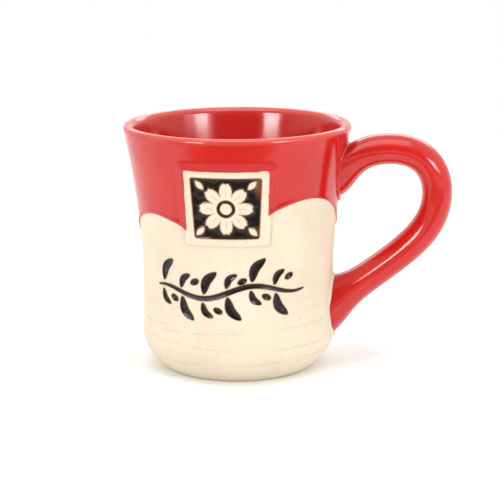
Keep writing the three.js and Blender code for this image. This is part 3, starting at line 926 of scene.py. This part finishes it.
def bump(tree, height, distance_mm, strength=1.0, under=None):
    inputs = {"Height": height, "Distance": distance_mm * MM, "Strength": strength}
    if under is not None:
        inputs["Normal"] = under
    return node(tree, "ShaderNodeBump", inputs).outputs["Normal"]


def link(tree, shader, **outputs):
    for key, value in outputs.items():
        tree.links.new(value, shader.inputs[key.replace("_", " ")])


def clay_material():
    """Unglazed cream stoneware: a fine dry grain, soft mottling, a few iron specks."""
    material, tree, shader = new_material("bare_stoneware")
    mottled = mix_colour(
        tree, remap(tree, noise(tree, 24, 3), 0.35, 0.65), (0.735, 0.635, 0.485), (0.785, 0.69, 0.54)
    )
    grain = remap(tree, noise(tree, 0.55, 2), 0.3, 0.7, 0.9, 1.05)
    grain = node(tree, "ShaderNodeCombineColor", {0: grain, 1: grain, 2: grain}).outputs[0]
    colour = mix_colour(tree, 1.0, mottled, grain, "MULTIPLY")
    place = node(tree, "ShaderNodeTexCoord").outputs["Object"]
    cells = node(tree, "ShaderNodeTexVoronoi", {"Vector": place, "Scale": 1 / (5.5 * MM)})
    lucky = node(tree, "ShaderNodeSeparateColor", {0: cells.outputs["Color"]}).outputs[0]
    size = remap(tree, lucky, 0.72, 1.0, 0.0, 0.055)
    speck = math_node(tree, "LESS_THAN", cells.outputs["Distance"], size)
    colour = mix_colour(tree, math_node(tree, "MULTIPLY", speck, 0.6), colour, (0.28, 0.13, 0.06))
    # A grey darkening of the clay along each turning mark.
    turning_line_grey = math_node(tree, "MULTIPLY", attribute(tree, "turning_line_grey"), 0.3)
    colour = mix_colour(tree, turning_line_grey, colour, (0.42, 0.38, 0.33))
    # Brown halos round the grooves, with a faint painted shade along the crease round the tile.
    stain_and_crease_shade = math_node(tree, "MULTIPLY", attribute(tree, "stain_and_crease_shade"), 0.85)
    colour = mix_colour(tree, stain_and_crease_shade, colour, (0.34, 0.16, 0.055))
    link(
        tree, shader, Base_Color=colour,
        Roughness=remap(tree, noise(tree, 3, 2), 0.3, 0.7, 0.72, 0.9),
        Normal=bump(tree, noise(tree, 0.5, 3, 0.6), 0.05, 0.8, bump(tree, noise(tree, 2.5, 2), 0.1, 0.5)),
    )
    shader.inputs["Specular IOR Level"].default_value = 0.25
    return material


def red_glaze_material():
    """Glossy red stoneware glaze: deeper where it pools, warmer where it runs thin, and lighter round the
    lip, partly thin glaze there and partly a painted highlight.
    """
    material, tree, shader = new_material("red_glaze")
    colour = mix_colour(
        tree, remap(tree, noise(tree, 15, 2), 0.35, 0.65), (0.51, 0.008, 0.005), (0.555, 0.012, 0.0075)
    )
    pooled = math_node(tree, "MULTIPLY", attribute(tree, "pooled"), 0.55)
    colour = mix_colour(tree, pooled, colour, (0.43, 0.005, 0.0035))
    # Warmer and lighter where the glaze runs thin; round the lip this is partly a painted highlight.
    thin_and_lip_highlight = math_node(tree, "MULTIPLY", attribute(tree, "thin_and_lip_highlight"), 0.6)
    colour = mix_colour(tree, thin_and_lip_highlight, colour, (0.74, 0.17, 0.125))
    link(
        tree, shader, Base_Color=colour,
        Roughness=remap(tree, noise(tree, 10, 2), 0.3, 0.7, 0.12, 0.18),
        Normal=bump(tree, noise(tree, 1.6, 1), 0.012, 0.5, bump(tree, noise(tree, 12, 1), 0.1, 0.5)),
    )
    shader.inputs["Specular IOR Level"].default_value = 0.58
    return material


def dark_glaze_material():
    """Glossy brown-black glaze, brown where it breaks thin over the clay."""
    material, tree, shader = new_material("dark_glaze")
    thin_and_lip_highlight = attribute(tree, "thin_and_lip_highlight")
    colour = mix_colour(
        tree, remap(tree, noise(tree, 3, 2), 0.4, 0.7), (0.008, 0.0048, 0.0036), (0.018, 0.0095, 0.006)
    )
    colour = mix_colour(tree, thin_and_lip_highlight, colour, (0.15, 0.058, 0.020))
    link(
        tree, shader, Base_Color=colour,
        Roughness=remap(tree, noise(tree, 4, 2), 0.3, 0.7, 0.1, 0.22),
        Normal=bump(tree, noise(tree, 1.3, 2), 0.06, 0.5),
    )
    shader.inputs["Specular IOR Level"].default_value = 0.32
    return material


def paper_material(name, shade):
    """Matt paper or card of one grey, from 0 black to 1 white."""
    material, tree, shader = new_material(name)
    shader.inputs["Base Color"].default_value = (shade, shade, shade, 1)
    shader.inputs["Roughness"].default_value = 0.9
    shader.inputs["Specular IOR Level"].default_value = 0.0
    return material


# ---------------------------------------------------------------- the mug

clay = clay_material()
red = red_glaze_material()
dark = dark_glaze_material()

pieces = {
    clay: [
        vessel_body(),
        medallion_tile(),
        slip_bead("clay_fillet_lower", "lower_slip_joint", False, 1.3, -0.5, 0.2),
    ],
    red: [
        outer_glaze(),
        liner_glaze(),
        handle_glaze(),
        slip_bead("red_glaze_fillet_upper", "upper_slip_joint", True, 1.25, 0.0, 0.1),
    ],
    dark: [
        medallion_pool(
            "dark_glaze_field", "medallion_glaze",
            lambda x, z: np.minimum(field_depth(x, z), -motif_depth(x, z)) - 0.12,
            (-FIELD_HALF_WIDTH - 2, FIELD_MIDDLE - FIELD_HALF_HEIGHT - 1),
            (FIELD_HALF_WIDTH + 2, FIELD_MIDDLE + FIELD_HALF_HEIGHT + 1),
        ),
        medallion_pool(
            "dark_glaze_heart", "medallion_heart_glaze", lambda x, z: heart_depth(x, z) - 0.1,
            (-4.5, FIELD_MIDDLE - 4.5), (4.7, FIELD_MIDDLE + 4.7),
        ),
        *(stroke_pool(name, stroke) for name, stroke in STROKES.items()),
    ],
}
for material, made in pieces.items():
    for piece in made:
        piece.data.materials.append(material)

# The CAD handle shows as the clay core under its glaze. The other CAD solids are hidden by the pieces above.
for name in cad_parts:
    core = bpy.data.objects.get(name)
    if core is not None and core.type == "MESH":
        core.data.materials.clear()
        core.data.materials.append(red if name.endswith("glaze") else clay)


# ---------------------------------------------------------------- floor, light and camera

# Lengths here are in metres and angles in degrees
FLOOR_RADIUS = 0.6
FLOOR_SIDES = 96
FLOOR_SHADE = 0.93
FLAG_START = 0.15
FLAG_REACH = 0.5
FLAG_HEIGHT = 0.001
FLAG_SHADE = 0.16
CAMERA_AZIMUTH = 6.3
CAMERA_DISTANCE = 0.62
CAMERA_HEIGHT = 0.19265
CAMERA_PAN = -0.51
CAMERA_TILT = -12.94
CAMERA_ROLL = -0.31
CAMERA_LENS = 110.6

scene = bpy.context.scene
scene.view_settings.view_transform = "Standard"
world = bpy.data.worlds.new("studio")
world.use_nodes = True
sky = world.node_tree
# White all round and below, and dimmer above the horizon on the side the mug is seen from.
look = node(sky, "ShaderNodeSeparateXYZ", {0: node(sky, "ShaderNodeTexCoord").outputs["Generated"]})
in_front = remap(sky, look.outputs["Y"], -0.3, -0.75)
above = remap(sky, look.outputs["Z"], 0.0, 0.12)
dim = math_node(sky, "MULTIPLY", in_front, above)
sky.nodes["Background"].inputs["Color"].default_value = (1, 1, 1, 1)
sky.links.new(remap(sky, dim, 0, 1, 1.0, 0.2), sky.nodes["Background"].inputs["Strength"])
scene.world = world


def paper_sheet(name, outline, shade):
    """A flat sheet of the studio, which isn't part of the mug."""
    mesh = bpy.data.meshes.new(name)
    mesh.from_pydata(outline, [], [range(len(outline))])
    sheet = bpy.data.objects.new(name, mesh)
    sheet.data.materials.append(paper_material(name, shade))
    scene.collection.objects.link(sheet)
    return sheet


paper_sheet("floor", [
    (FLOOR_RADIUS * math.cos(turn), FLOOR_RADIUS * math.sin(turn), 0)
    for turn in np.linspace(0, 2 * math.pi, FLOOR_SIDES + 1)[:-1]
], FLOOR_SHADE)
# A grey card lies in front of the mug, seen only in the glaze, where it keeps the reflections deep.
flag = paper_sheet("reflection_flag", [
    (-FLAG_REACH, -FLAG_REACH, FLAG_HEIGHT), (FLAG_REACH, -FLAG_REACH, FLAG_HEIGHT),
    (FLAG_REACH, -FLAG_START, FLAG_HEIGHT), (-FLAG_REACH, -FLAG_START, FLAG_HEIGHT),
], FLAG_SHADE)
flag.visible_camera = False
flag.visible_diffuse = False
flag.visible_shadow = False


def softbox(name, azimuth, elevation, distance, width, height, watts, target=(0, 0, 0.06)):
    """An area light facing the mug, placed by azimuth from the front and elevation."""
    turn, rise = math.radians(azimuth), math.radians(elevation)
    away = Vector((math.sin(turn) * math.cos(rise), -math.cos(turn) * math.cos(rise), math.sin(rise)))
    data = bpy.data.lights.new(name, "AREA")
    data.shape = "RECTANGLE"
    data.size = width
    data.size_y = height
    data.energy = watts
    light = bpy.data.objects.new(name, data)
    light.location = Vector(target) + away * distance
    light.rotation_euler = away.to_track_quat("Z", "Y").to_euler()
    scene.collection.objects.link(light)


softbox("softbox_left", -36, 20, 1.1, 0.34, 0.27, 4.4)
softbox("softbox_right", 50, 20, 1.1, 0.28, 0.27, 2.7)
softbox("softbox_right_halo", 54, 20, 1.12, 0.66, 0.3, 1.5)
softbox("softbox_top", 0, 84, 1.2, 0.9, 0.9, 4.4)
softbox("softbox_back", 180, 28, 1.3, 1.4, 0.3, 3.3)

camera_data = bpy.data.cameras.new("camera")
camera_data.sensor_width = 36
camera_data.lens = CAMERA_LENS
camera_data.clip_start = 0.01
camera = bpy.data.objects.new("camera", camera_data)
around = math.radians(CAMERA_AZIMUTH)
stand = Matrix.Translation(
    (CAMERA_DISTANCE * math.sin(around), -CAMERA_DISTANCE * math.cos(around), CAMERA_HEIGHT)
)
heading = Matrix.Rotation(math.radians(CAMERA_AZIMUTH + CAMERA_PAN), 4, "Z")
tilt = Matrix.Rotation(math.radians(90 + CAMERA_TILT), 4, "X")
roll = Matrix.Rotation(math.radians(CAMERA_ROLL), 4, "Z")
camera.matrix_world = stand @ heading @ tilt @ roll
scene.collection.objects.link(camera)
scene.camera = camera
